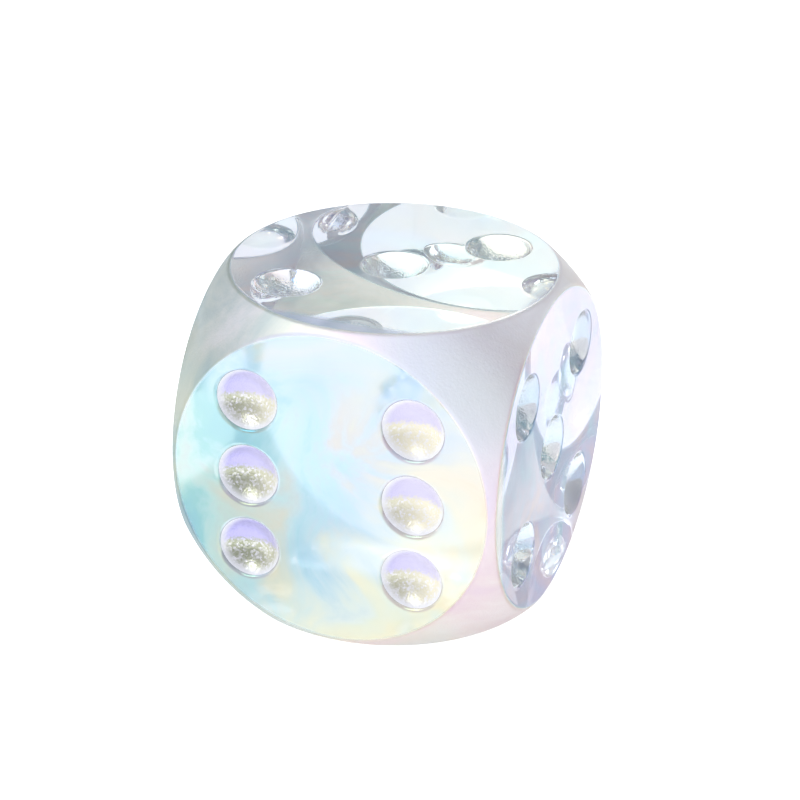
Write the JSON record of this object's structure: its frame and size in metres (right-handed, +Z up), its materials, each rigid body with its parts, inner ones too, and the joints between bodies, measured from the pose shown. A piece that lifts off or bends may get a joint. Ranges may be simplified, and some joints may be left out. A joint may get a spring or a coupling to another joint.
{
  "type": "casino die",
  "caption": "Clear iridescent gaming die: a cube rounded by a ball, with hollow reflective spots on every face, thrown so that it comes to rest on a random face.",
  "frame": {"origin": "centre of the face marked four, on which the die stands", "axes": "+Z up through the face marked three, -Y out of the face marked six, +X out of the face marked five"},
  "size_m": [0.016, 0.016, 0.016],
  "materials": {
    "clear_plastic": "clear moulded plastic, polished faces, iridescent coat",
    "spot_lacquer": "thin reflective pearl lacquer"
  },
  "bodies": {
    "root": {"die_body": "clear_plastic", "spot_lining_five_centre": "spot_lacquer", "spot_lining_five_high": "spot_lacquer", "spot_lining_five_left": "spot_lacquer", "spot_lining_five_low": "spot_lacquer", "spot_lining_five_right": "spot_lacquer", "spot_lining_four_high": "spot_lacquer", "spot_lining_four_left": "spot_lacquer", "spot_lining_four_low": "spot_lacquer", "spot_lining_four_right": "spot_lacquer", "spot_lining_one_centre": "spot_lacquer", "spot_lining_six_left_high": "spot_lacquer", "spot_lining_six_left_low": "spot_lacquer", "spot_lining_six_left_middle": "spot_lacquer", "spot_lining_six_right_high": "spot_lacquer", "spot_lining_six_right_low": "spot_lacquer", "spot_lining_six_right_middle": "spot_lacquer", "spot_lining_three_centre": "spot_lacquer", "spot_lining_three_high": "spot_lacquer", "spot_lining_three_low": "spot_lacquer", "spot_lining_two_high": "spot_lacquer", "spot_lining_two_low": "spot_lacquer"}
  },
  "joints": []
}
